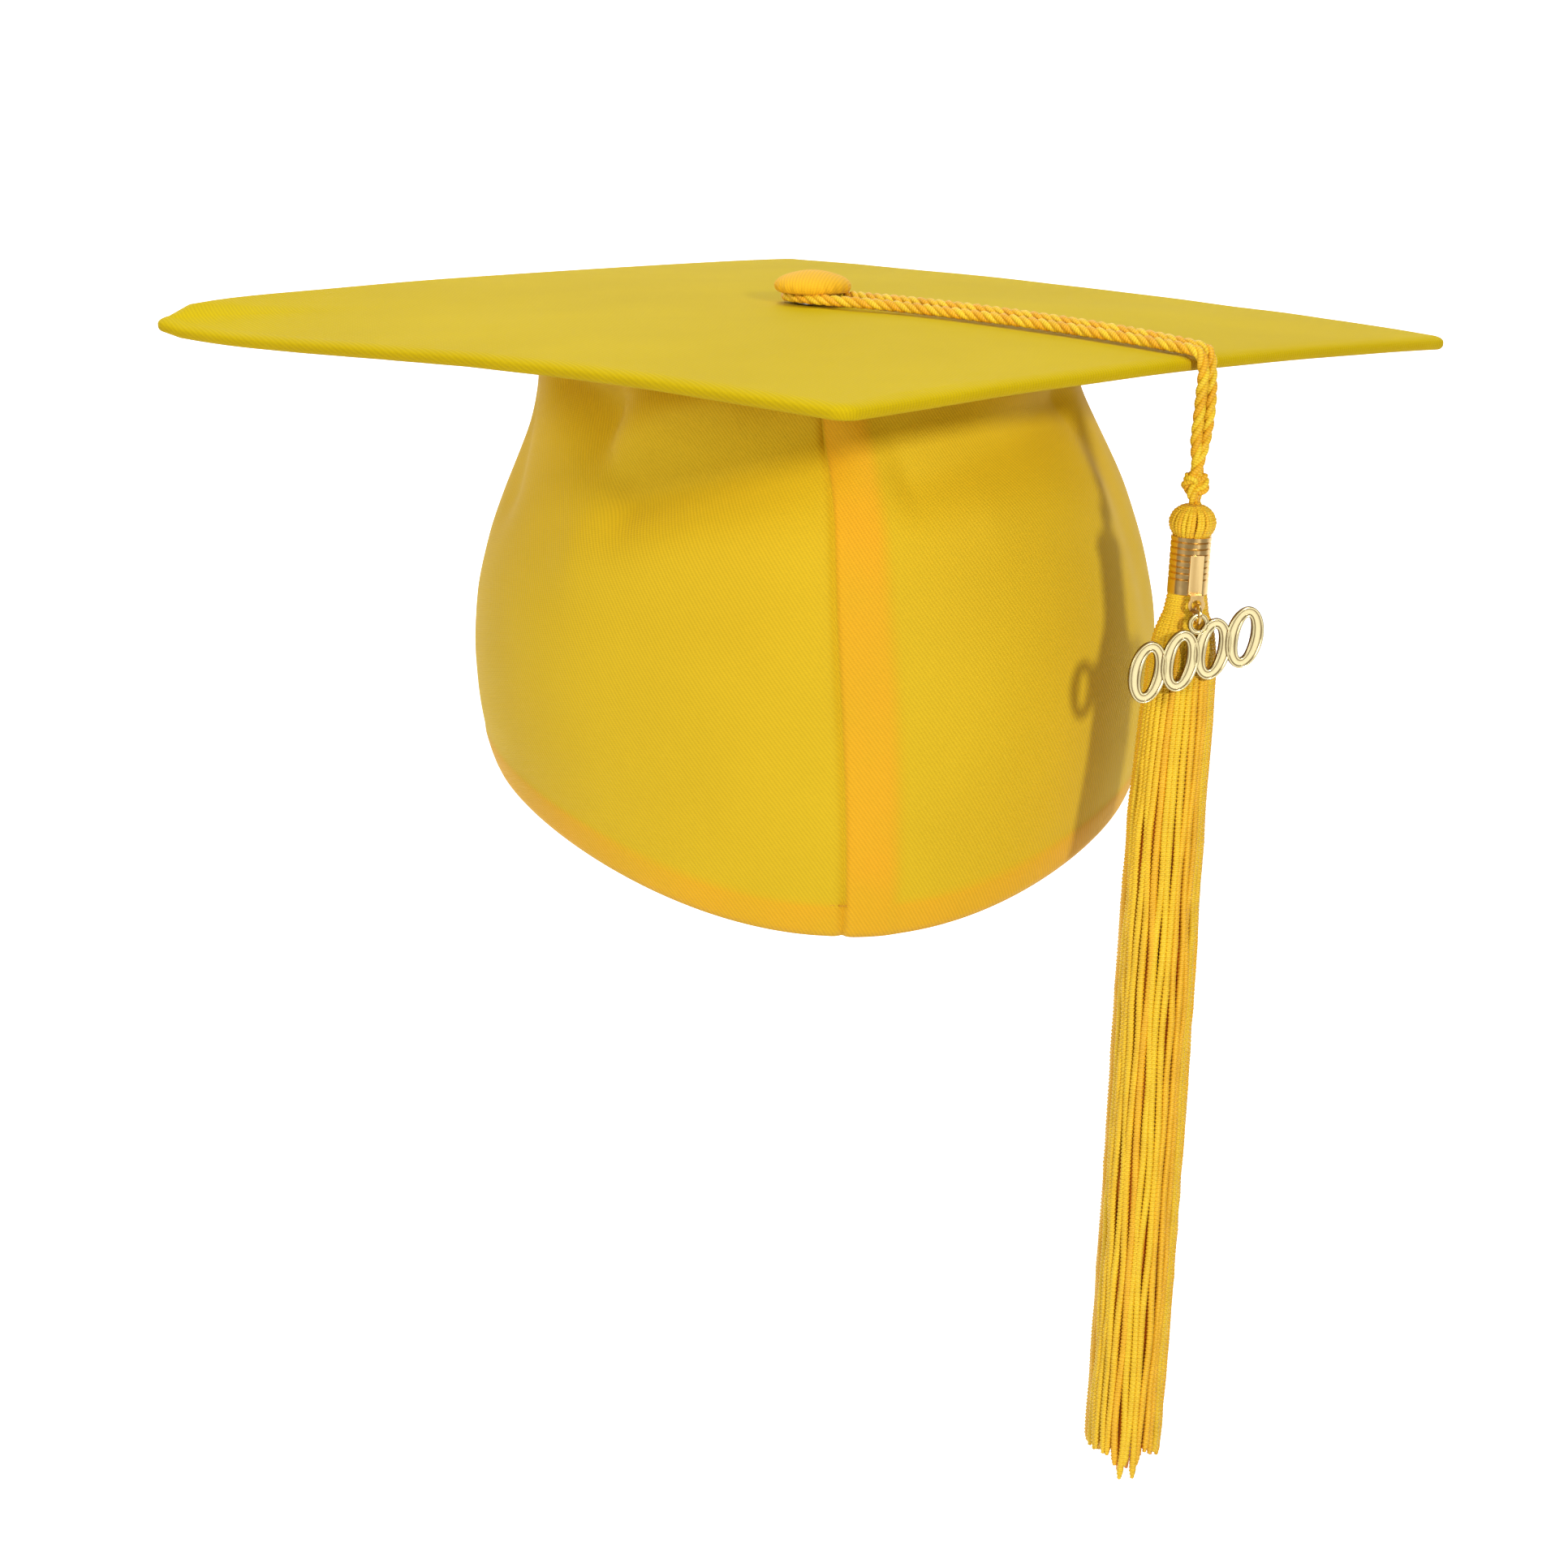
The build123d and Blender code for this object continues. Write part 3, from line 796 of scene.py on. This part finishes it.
def make_panel(side):
    """One half of the crown, its seams turned in and its hem folded up inside."""
    steps = np.concatenate([np.linspace(0, 0.05, 14)[:-1], np.linspace(0.05, pi - 0.05, 230),
                            np.linspace(pi - 0.05, pi, 14)[1:]])
    theta = steps * side
    arc = steps * MEAN_R
    dip = seam_dip(arc) + seam_dip((pi - steps) * MEAN_R)
    folded = smooth_step((arc / MM - 0.6) / 0.8) * smooth_step((16.5 - arc / MM) / 5.5)
    allowance = folded * (side > 0)
    dip = dip - ALLOWANCE_RAISE * allowance
    rim = rim_depth(theta)
    rows, v, tones = [], [], []
    for share in np.linspace(0, 1, 92):
        depth = CROWN_TOP + (rim - CROWN_TOP) * share
        hem = smooth_step((HEM_WIDTH + 0.6 * MM - (rim - depth)) / (1.4 * MM))
        rows.append(crown_place(theta, depth, dip - HEM_RAISE * hem))
        v.append(depth)
        # painted shade: an orange tint at the top of the crown, under the board, fading downward
        painted_shade_under_board = UNDER_BOARD_SHADE_TONE * hump(depth - 4 * MM, 13 * MM)
        tones.append(np.maximum(np.maximum(SEAM_TONE * allowance, HEM_TONE * hem), painted_shade_under_board))
    for lift, turn in HEM_FOLD:
        rows.append(crown_place(theta, rim, dip + turn * MM) + np.array([0, 0, lift * MM]))
        v.append(rim + (lift + turn) * MM)
        tones.append(np.full(len(arc), HEM_TONE))
    grid = Grid(np.array(rows), arc * side, np.array(v), tone=np.array(tones))
    name = "crown_panel_right" if side > 0 else "crown_panel_left"
    panel = piece(name + "_cloth", [grid], crown_cloth)
    thicken(panel, CLOTH_THICK, -side)
    dress(panel, "cap", "cap_cloth", name)


def make_hem_facing():
    """A strip of cloth inside the rim."""
    all_round = np.linspace(0, 2 * pi, 420)
    strip = crown_strip(all_round, np.linspace(0.3, 9, 8) * MM, 2.2 * MM)
    facing = thicken(piece("hem_facing_cloth", [strip], tape_cloth), TAPE_THICK)
    dress(facing, "cap", "seam_tape", "hem_facing")


def make_elastic():
    """Elastic at the back of the rim, between the hem and its facing."""
    at_back = np.linspace(radians(110), radians(250), 300)
    ripple = 0.1 * MM * np.sin(at_back * 130)
    strip = crown_strip(at_back, np.linspace(1.5, 7.5, 7) * MM, 1.4 * MM + ripple)
    elastic = thicken(piece("elastic_knit", [strip], elastic_knit), 0.5 * MM)
    dress(elastic, "cap", "elastic", "elastic_band")


def make_seam_tape(name, middle, low, high):
    """Tape up the inside of a seam, between two places across it in millimetres."""
    across = middle + np.linspace(low, high, 14) * MM / MEAN_R
    length = rim_depth(across) - CROWN_TOP - 12 * MM
    shares = np.linspace(0, 1, 70)
    rows = [crown_place(across, CROWN_TOP + 2 * MM + length * share, 1.35 * MM) for share in shares]
    grid = Grid(np.array(rows), across * MEAN_R, 0.125 * shares, tone=0.0)
    tape = thicken(piece(name + "_cloth", [grid], tape_cloth), TAPE_THICK)
    dress(tape, "cap", "seam_tape", name)


def make_stitches():
    """The hem's line of stitches, near its upper edge."""
    stitches = []
    steps = np.linspace(-1, 1, 6)
    sink = 0.25 * MM * steps ** 4
    for number in range(STITCH_COUNT):
        middle = 2 * pi * number / STITCH_COUNT
        theta = middle + steps * STITCH_HALF / MEAN_R
        raised = HEM_WIDTH - 0.6 * MM + 0.15 * MM * sin(number * 2.4)
        line = crown_place(theta, rim_depth(theta) - raised, sink - 0.42 * MM)
        stitches.append(tube(line, 0.16 * MM, 5))
    thread = piece("hem_stitches", stitches, sewing_thread)
    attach(thread, "cap")


def make_crown_top():
    """The lid of cloth under the board, puckered where it is sewn to the panels."""
    angles = np.linspace(0, 2 * pi, 361)[:-1]
    half = float(crown_half(CROWN_TOP)) - 1.4 * MM
    rows, v = [], []
    for share in np.concatenate([np.linspace(0.03, 0.9, 26), np.linspace(0.92, 1, 8)]):
        x = half * share * np.sin(angles)
        y = (half + CROWN_LONGER) * share * np.cos(angles)
        waves = np.sin(angles * PUCKER_COUNT + 2 * np.sin(angles * 5))
        pucker = 0.35 * MM * waves * share ** 8
        sag = MM * np.abs(np.sin(angles * 3 + 1)) * share * (1 - share)
        z = dome_z(np.stack([x, y], axis=-1)) - BOARD_THICK - 0.7 * MM + pucker - sag
        rows.append(np.stack([x, y, z], axis=-1))
        v.append(y)
    rows = np.array(rows)
    grid = Grid(rows, wrap(rows[:, :, 0]), wrap(np.array(v)), closed=True, tone=0.0)
    lid = thicken(piece("crown_top_cloth", [grid], lining_cloth), CLOTH_THICK)
    dress(lid, "cap", "cap_cloth", "crown_top")


def make_label():
    """A blank woven label, sewn along its front edge under the lid."""
    low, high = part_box("size_label")
    across, along = np.linspace(low.x, high.x, 30), np.linspace(low.y, high.y, 18)
    x, y = np.meshgrid(across, along)
    loose = smooth_step((y - low.y) / (high.y - low.y))
    z = high.z + 0.3 * MM - (1.1 + 0.5 * np.sin(x * 150)) * MM * loose
    grid = Grid(np.stack([x, y, z], axis=-1), x, along, tone=0.0)
    label = thicken(piece("size_label_cloth", [grid], label_satin), 0.25 * MM)
    dress(label, "cap", "label_cloth", "size_label")


# ---- the button ----
BUTTON_PROFILE = np.array([(0.02, 1.0), (0.2, 0.985), (0.38, 0.935), (0.55, 0.86), (0.7, 0.78),
                           (0.82, 0.69), (0.91, 0.59), (0.965, 0.48), (0.99, 0.36), (0.985, 0.24),
                           (0.95, 0.13), (0.89, 0.06), (0.8, 0.04)])
BUTTON_GROW = 0.9 * MM       # the cloth reaches past the modelled cover, above and below
BUTTON_SETTLE = 0.2 * MM     # its top is pressed down by this
BUTTON_SHARE = 0.988
BUTTON_PUCKERS = 23
PUCKER_SHARE = 0.0175
PUCKER_FROM = 0.85
WOBBLE_SHARE = 0.0036


def make_button():
    """Cloth drawn over the button's shell and gathered in underneath."""
    low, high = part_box("button_cover")
    centre, radius = (low + high) / 2, (high.x - low.x) / 2
    bottom = low.z - BUTTON_GROW
    rise = high.z + BUTTON_GROW - bottom
    fine = np.linspace(0, len(BUTTON_PROFILE) - 1, 60)
    out, up = (smoothed(np.interp(fine, np.arange(len(BUTTON_PROFILE)), shares), 7)
               for shares in BUTTON_PROFILE.T)
    run = lengths_along(np.column_stack([out, up * rise / radius]))
    angles = np.linspace(0, 2 * pi, 145)[:-1]
    wobble = WOBBLE_SHARE * np.sin(angles * 2 + 1)
    waves = PUCKER_SHARE * np.sin(angles * BUTTON_PUCKERS + np.sin(angles * 4))
    rows = []
    for out_share, up_share, along in zip(out, up, run):
        gathered = waves * smooth_step((along - PUCKER_FROM) / 0.4)
        r = radius * out_share * (BUTTON_SHARE + gathered + wobble)
        z = np.full(len(angles), bottom + (rise - BUTTON_SETTLE) * up_share)
        rows.append(np.stack([centre.x + r * np.cos(angles), centre.y + r * np.sin(angles), z],
                             axis=-1))
    flat_r = run[:, None] * radius
    grid = Grid(np.array(rows), wrap(flat_r * np.cos(angles)), wrap(flat_r * np.sin(angles)),
                closed=True, tone=0.0)
    cover = thicken(piece("button_cloth_cover", [grid], button_cloth), 0.35 * MM)
    dress(cover, "cap", "cap_cloth", "button_cover")


# ---- the tassel: its own frame at the knot, +x to the charm, +z up ----
BARREL_END = -24.4 * MM
STRAND_R = 0.86 * MM
SKIRT_END = -256 * MM
# The tassel's cut end: place across it from left (-1) to right (1), and how far short of the
# longest strand it is cut there, in millimetres.
TUFTS = np.array([(-1, 6.9), (-0.7, 7.0), (-0.5, 4.0), (-0.38, 0.4), (-0.2, 4.0), (-0.03, 0.0),
                  (0.15, 3.6), (0.4, 7.4), (0.7, 6.0), (0.9, 4.2), (1, 5.0)])
# Rings of strands from the outside in: count, share of the skirt's radius, spacing of points in
# millimetres, sides and twisting lobes of a strand.
SKIRT_RINGS = [(34, 1.0, 0.26, 9, 3), (28, 0.84, 2.0, 6, 0), (16, 0.5, 3.0, 6, 0)]
# painted shade: the inner strands, seen only in the gaps between outer ones, are toned darker orange
INNER_SHADE_TONE = 0.35
# Outlines of the skirt and the head: radius, and depth below the knot.
SKIRT = np.array([(4.4, 24.6), (4.7, 29.5), (6.4, 34.5), (8.4, 42.5), (9.2, 55.5), (9.8, 80),
                  (10.1, 110), (10.2, 150), (10.2, 200), (10.1, 254)]) * MM
HEAD = np.array([(1.4, 3.4), (3.4, 3.9), (5.0, 5.1), (5.8, 7.0), (5.5, 8.8), (4.6, 10.1),
                 (4.1, 11.2), (3.9, 16), (3.9, 24.4)]) * MM
HEAD_THREADS = 28
HEAD_THREAD_R = 0.62 * MM
knot_place = Vector(joints["tassel_spin"]["pos_m"])
tassel_up = Vector(joints["tassel_spin"]["axis"]).normalized()
tassel_out = Vector(joints["ring_swing"]["axis"]).normalized()
tassel_side = tassel_up.cross(tassel_out)


def tassel_place(x, y, z):
    """Points of the tassel's own frame, in the cap's."""
    axes = np.array([tassel_out, tassel_side, tassel_up])
    return np.stack([x, y, z], axis=-1) @ axes + np.array(knot_place)


def wander(along, reach, slow=60 * MM):
    """A smooth random drift along a strand."""
    total = np.zeros(len(along))
    for wave in range(3):
        length = slow / (1 + wave * 0.8) * chance.uniform(0.8, 1.25)
        total += np.sin(2 * pi * (along / length + chance.uniform())) / (1 + wave)
    return total * reach


def skirt_strand(start, fill, spacing, sides, lobes):
    """One strand of the skirt, from inside the barrel to its cut end."""
    short = np.interp(sin(start), TUFTS[:, 0], TUFTS[:, 1]) * MM
    end = -SKIRT_END - short + chance.uniform(-0.8, 0.4) * MM
    down = np.arange(-BARREL_END - 1 * MM, end, spacing * MM)
    spread = smooth_step((down - 34 * MM) / (50 * MM))
    outer = np.interp(down, SKIRT[:, 1], SKIRT[:, 0])
    outer = outer + 1.2 * MM * sin(start) ** 2 * hump(down - 33 * MM, 9 * MM)
    radius = (outer - STRAND_R * 1.14) * fill - np.abs(wander(down, 0.22 * MM)) * spread
    angle = start + wander(down, 0.035, 75 * MM) * spread
    aside = -1.0 * MM * spread * (1 - smooth_step((down - 70 * MM) / (140 * MM)))
    line = tassel_place(radius * np.cos(angle), radius * np.sin(angle) + aside, -down)
    thick = STRAND_R * (1 - 0.45 * smooth_step((down - end + 2.5 * MM) / (2.5 * MM)))
    # inner strands carry painted shade by their tone; outer ones vary at random
    tone = chance.uniform(0.72, 1.0) if lobes else INNER_SHADE_TONE
    return tube(line, thick, sides, tone, lobes, 3.0 * MM, 0.17)


def make_skirt():
    """Three rings of laid strands that hang from the barrel."""
    strands = []
    for count, fill, spacing, sides, lobes in SKIRT_RINGS:
        for number in range(count):
            start = 2 * pi * (number + chance.uniform(-0.18, 0.18)) / count
            strands.append(skirt_strand(start, fill, spacing, sides, lobes))
    skirt = piece("tassel_skirt_strands", strands, tassel_yarn)
    dress(skirt, "tassel", "tassel_yarn", "tassel_skirt")


def make_head():
    """Threads that bulge out below the knot and run down inside the barrel."""
    along = lengths_along(HEAD)
    fine = np.linspace(0, along[-1], 90)
    out, down = (smoothed(np.interp(fine, along, values), 9) for values in HEAD.T)
    strands = []
    for number in range(HEAD_THREADS):
        angle = 2 * pi * number / HEAD_THREADS + 0.25 * np.cos(fine / (9 * MM))
        angle = angle + chance.uniform(-0.05, 0.05)
        radius = np.maximum(out - HEAD_THREAD_R, 0.5 * MM)
        line = tassel_place(radius * np.cos(angle), radius * np.sin(angle), -down)
        tone = chance.uniform(0.8, 1.0)
        strands.append(tube(line, HEAD_THREAD_R, 9, tone, 3, 2.2 * MM, 0.2))
    angles = np.linspace(0, 2 * pi, 25)[:-1]
    core = np.maximum(out - 1.2 * MM, 0.3 * MM)
    filling = tassel_place(core[:, None] * np.cos(angles), core[:, None] * np.sin(angles),
                           np.repeat(-down[:, None], len(angles), axis=1))
    strands.append(Grid(filling, np.linspace(0, 1, len(angles) + 1), fine, closed=True, capped=True,
                        tone=0.2))
    head = piece("tassel_head_threads", strands, tassel_yarn)
    dress(head, "tassel", "tassel_yarn", "tassel_head", "tassel_neck")


# The two short ends of the cord in the knot: points in the tassel's own frame, in millimetres.
KNOT_ENDS = [
    [(0.3, 1.6, 4.4), (0.6, 0.8, 1.6), (0.2, -0.6, -1.6)],
    [(-0.3, -1.6, 4.4), (-0.8, -0.6, 1.2), (0.0, 0.8, -3.4)],
]
KNOT_YARN_R = 1.3 * MM
KNOT_PITCH = 7 * MM


def make_knot():
    """The cord's two ends tied in one small knot: a trefoil drawn out along the tassel."""
    t = np.linspace(0, 2 * pi, 160)
    size = 0.76 * MM
    side = size * (np.sin(t) + 2 * np.sin(2 * t))
    out = size * 1.5 * np.sin(3 * t)
    up = size * 1.45 * (np.cos(t) - 2 * np.cos(2 * t)) + 1.1 * MM
    parts = yarn(tassel_place(out, side, up), KNOT_YARN_R, KNOT_PITCH)
    for points in KNOT_ENDS:
        line = tassel_place(*(np.array(points).T * MM))
        parts += yarn(resample(line, 0.4 * MM), KNOT_YARN_R, KNOT_PITCH)
    knot = piece("cord_knot_yarn", parts, cord_yarn)
    dress(knot, "knot", "cord_yarn", "cord_knot")


# ---- the gilt charm ----
OVAL_COUNT = 4
OVAL_PITCH = 8.4 * MM
OVAL_RISE = radians(20)
OVAL_LEAN = radians(-8)
OVAL_OUTER = (4.7 * MM, 7.6 * MM)
OVAL_INNER = (1.5 * MM, 5.0 * MM)
EYE_HEIGHT = 7.6 * MM
EYE_OUTER = (2.6 * MM, 2.6 * MM)
EYE_INNER = (1.5 * MM, 1.5 * MM)
RING_R = 2.4 * MM
RING_HANG = radians(56)
# Round a ring of the charm and back to the start: share from its inner edge to its outer one,
# height in millimetres and tone. Raised polished rims stand each side of a lower face. The tone
# is painted shade: low on the side walls and in the grooves beside the rims, high on crests and
# face.
CHARM_SECTION = [(0.0, -0.5, 0.0), (0.0, 0.2, 0.0), (0.06, 0.42, 0.5), (0.13, 0.5, 1.0),
                 (0.2, 0.44, 0.9), (0.25, 0.16, 0.1), (0.31, 0.14, 0.3), (0.37, 0.18, 0.9),
                 (0.68, 0.18, 0.9), (0.74, 0.14, 0.3), (0.79, 0.16, 0.1), (0.83, 0.44, 0.9),
                 (0.89, 0.5, 1.0), (0.95, 0.42, 0.5), (1.0, 0.2, 0.0), (1.0, -0.5, 0.0),
                 (0.5, -0.5, 0.6), (0.0, -0.5, 0.0)]


def raised_ring(centre, lean, outer, inner, sides=72):
    """A flat oval ring with raised rims, in the charm's plane: closed rows of points."""
    t = np.linspace(0, 2 * pi, sides + 1)
    rows = []
    for share, height, _ in CHARM_SECTION:
        a, b = (within + (out - within) * share for within, out in zip(inner, outer))
        x, y = a * np.cos(t), b * np.sin(t)
        rows.append(np.stack([centre[0] + x * cos(lean) - y * sin(lean),
                              centre[1] + x * sin(lean) + y * cos(lean),
                              np.full(len(t), height * MM)], axis=-1))
    return np.array(rows)


def make_charm():
    """Four joined open ovals with an eye above them."""
    ring = Vector(joints["charm_swing"]["pos_m"])
    hang = tassel_out * (RING_R * cos(RING_HANG)) - tassel_up * (RING_R * sin(RING_HANG))
    origin = ring + hang - tassel_up * EYE_HEIGHT
    axes = np.array([tassel_side, tassel_up, tassel_out])
    rings = []
    for number in range(OVAL_COUNT):
        step = (number - (OVAL_COUNT - 1) / 2) * OVAL_PITCH
        spot = (step * cos(OVAL_RISE), step * sin(OVAL_RISE))
        points = raised_ring(spot, OVAL_LEAN, OVAL_OUTER, OVAL_INNER)
        points[..., 2] += (0.1 if number % 2 else -0.05) * MM
        rings.append(points)
    rings.append(raised_ring((0, EYE_HEIGHT), 0, EYE_OUTER, EYE_INNER, 40))
    # the tones paint shade on the charm's side walls and grooves
    tones = np.array([tone for _, _, tone in CHARM_SECTION])[:, None]
    grids = [Grid(points @ axes + np.array(origin), 0.0, np.zeros(len(points)), tone=tones)
             for points in rings]
    charm = piece("charm_ovals", grids, gilt_charm)
    dress(charm, "charm", "gilt_metal", "charm")


def polish():
    """Materials of the solids that stay as they are."""
    # the strap and jump ring take the brighter gilt copy, a painted highlight
    finishes = {"tassel_barrel": gilt_barrel, "barrel_strap": gilt_strap_highlight, "jump_ring": gilt_strap_highlight,
                "button_shell": bare_steel, "button_back": bare_steel,
                "button_rivet": bare_steel, "button_washer": bare_steel}
    for node, material in finishes.items():
        mesh = frame["nodes"][node].data
        mesh.materials.clear()
        mesh.materials.append(material)


# ---- stage and lights ----
FLOOR_BELOW = 0.75
FLOOR_BEFORE = 4.0
FLOOR_BEHIND = 1.6
BEND_R = 1.2
WALL_HEIGHT = 4.0
FLOOR_HALF_WIDTH = 5
WORLD_COLOUR = (1, 0.88, 0.72, 1)
WORLD_STRENGTH = 0.26
LIGHT_AIM = (0, 0, 0.05)
# Name, place and width in metres, and power in watts.
LIGHTS = [
    ("key", (0.79, -1.91, 0.74), 0.2, 26),
    ("top", (-0.3, 0.2, 2.2), 1.4, 23),
    ("fill", (-1.7, -1.5, 0.6), 1.0, 20),
    ("card", (0.95, -1.6, -0.34), 1.0, 1.8),
]


def make_stage():
    """A white floor that curves up behind, brighter towards the back."""
    s = Shader("backdrop")
    pale = s.ramp(s.noise(s.place(), 3.0), 0.3, 0.7, (0.8, 0.8, 0.8, 1), (0.82, 0.82, 0.82, 1))
    behind = s.node("ShaderNodeSeparateXYZ", {"Vector": s.place()}).outputs["Y"]
    glow = s.node("ShaderNodeMapRange", {"Value": behind, "From Min": -0.2, "From Max": 0.8,
                                         "To Min": 0.1, "To Max": 0.85}).outputs[0]
    paper = s.finish(Base_Color=pale, Roughness=0.9, Emission_Color=(1, 1, 1, 1),
                     Emission_Strength=glow)
    floor_z = cad_box[0].z - FLOOR_BELOW
    profile = [(-FLOOR_BEFORE, floor_z), (0.0, floor_z), (FLOOR_BEHIND, floor_z)]
    for step in range(1, 13):
        angle = step / 12 * pi / 2
        profile.append((FLOOR_BEHIND + BEND_R * sin(angle), floor_z + BEND_R * (1 - cos(angle))))
    profile.append((FLOOR_BEHIND + BEND_R, floor_z + WALL_HEIGHT))
    across = np.linspace(-FLOOR_HALF_WIDTH, FLOOR_HALF_WIDTH, 3)
    points = np.array([[(x, y, z) for x in across] for y, z in profile])
    floor = piece("floor", [Grid(points, across, np.arange(len(profile)))], paper)


def area_light(name, place, width, power):
    """A round lamp that points at the cap."""
    data = bpy.data.lights.new(name, "AREA")
    data.shape = "DISK"
    data.size = width
    data.energy = power
    light = bpy.data.objects.new(name, data)
    light.location = place
    light.rotation_euler = (Vector(LIGHT_AIM) - Vector(place)).to_track_quat("-Z", "Y").to_euler()
    bpy.context.scene.collection.objects.link(light)


def make_lights():
    """A dim warm world and four lamps."""
    world = bpy.data.worlds.new("world")
    bpy.context.scene.world = world
    world.use_nodes = True
    background = world.node_tree.nodes["Background"]
    background.inputs["Color"].default_value = WORLD_COLOUR
    background.inputs["Strength"].default_value = WORLD_STRENGTH
    for light in LIGHTS:
        area_light(*light)


bpy.context.scene.view_settings.view_transform = "Standard"
make_camera()
cord, cord_line = make_cord()
make_stage()
make_lights()
make_board_cover()
make_under_cover()
make_core()
make_panel(1)
make_panel(-1)
make_hem_facing()
make_elastic()
make_seam_tape("front_seam_tape", 0, 0.0, 13.0)
make_seam_tape("back_seam_tape", pi, -6.5, 6.5)
make_stitches()
make_crown_top()
make_label()
make_button()
make_knot()
make_head()
make_skirt()
make_charm()
polish()
